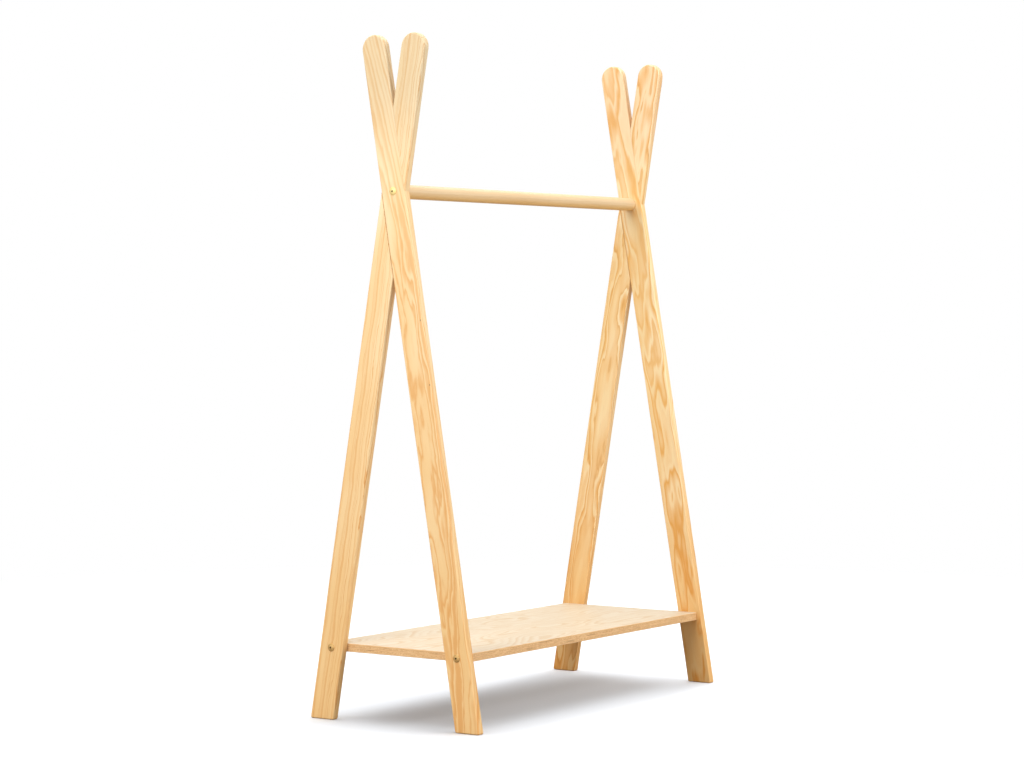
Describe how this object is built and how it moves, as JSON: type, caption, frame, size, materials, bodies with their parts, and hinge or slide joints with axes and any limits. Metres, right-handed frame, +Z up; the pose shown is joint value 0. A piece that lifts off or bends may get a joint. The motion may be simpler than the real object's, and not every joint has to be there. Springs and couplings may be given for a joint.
{
  "type": "clothes rack",
  "caption": "Free-standing wooden clothes rack: crossed-leg end frames joined by a round hanging rail at their crossings and by a low shelf.",
  "frame": {"origin": "on the floor at the middle of the rack's footprint", "axes": "+Z up, +X along the rail towards the right end frame, +Y towards the rear; the front is the -Y side"},
  "size_m": [0.9658, 0.4382, 1.45],
  "materials": {
    "pine_planks": "clear matt lacquer on planed pine",
    "pine_rail": "clear matt lacquer on a turned dowel",
    "pine_ply": "clear matt lacquer on pine plywood",
    "brass_bolts": "brass-plated, satin",
    "plated_steel": "zinc-plated"
  },
  "bodies": {
    "root": {"hanging_rail": "pine_rail", "left_front_barrel_nut": "plated_steel", "left_front_leg": "pine_planks", "left_front_shelf_bolt": "brass_bolts", "left_rail_bolt": "brass_bolts", "left_rail_insert": "plated_steel", "left_rear_barrel_nut": "plated_steel", "left_rear_leg": "pine_planks", "left_rear_shelf_bolt": "brass_bolts", "right_front_barrel_nut": "plated_steel", "right_front_leg": "pine_planks", "right_front_shelf_bolt": "brass_bolts", "right_rail_bolt": "brass_bolts", "right_rail_insert": "plated_steel", "right_rear_barrel_nut": "plated_steel", "right_rear_leg": "pine_planks", "right_rear_shelf_bolt": "brass_bolts", "shelf": "pine_ply"}
  },
  "joints": []
}
